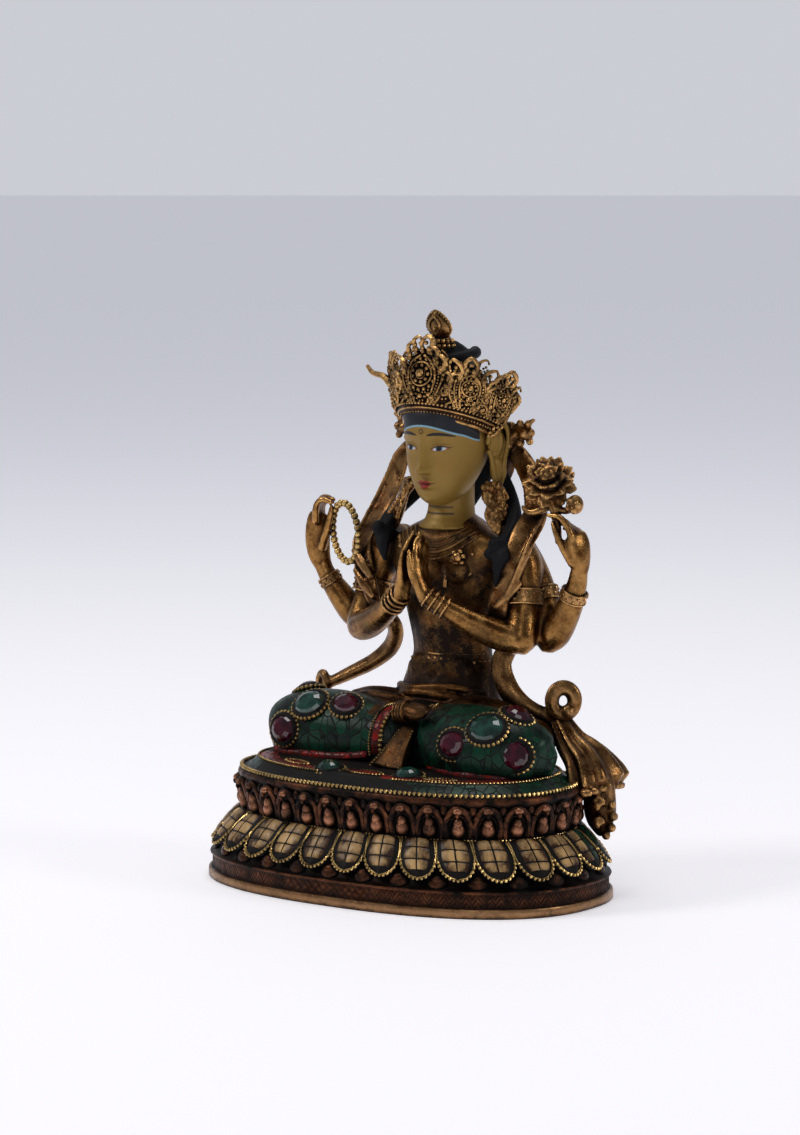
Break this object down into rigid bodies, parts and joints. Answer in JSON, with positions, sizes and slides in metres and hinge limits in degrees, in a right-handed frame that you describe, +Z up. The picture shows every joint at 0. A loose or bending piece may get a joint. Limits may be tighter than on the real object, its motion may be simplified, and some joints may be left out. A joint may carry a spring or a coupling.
{
  "type": "four-armed bodhisattva statuette",
  "caption": "Small gilt statuette of a crowned, four-armed bodhisattva seated on a double lotus throne, with set stones, a held flower and prayer beads.",
  "frame": {"origin": "centre of the throne's flat underside, on the surface it stands on", "axes": "+Z up, from the throne to the finial; the figure looks along -Y; +X is the figure's own left"},
  "size_m": [0.1606, 0.1014, 0.2102],
  "materials": {
    "dark_copper": "cast copper alloy with dark brown patina",
    "antique_gilt": "worn gilding over copper alloy",
    "bright_brass": "bright worn gilding",
    "ruby_glass": "faceted, polished",
    "green_glass": "faceted, polished"
  },
  "bodies": {
    "root": {"lotus_base": "dark_copper", "figure": "antique_gilt", "crown": "bright_brass", "prayer_beads": "bright_brass", "stone_right_green": "green_glass", "stone_right_red_inner": "ruby_glass", "stone_right_red_low": "ruby_glass", "stone_right_red_back": "ruby_glass", "stone_left_green": "green_glass", "stone_left_red_inner": "ruby_glass", "stone_left_red_low": "ruby_glass", "stone_left_red_top": "ruby_glass", "stone_front_right": "green_glass", "stone_front_left": "green_glass"}
  },
  "joints": []
}
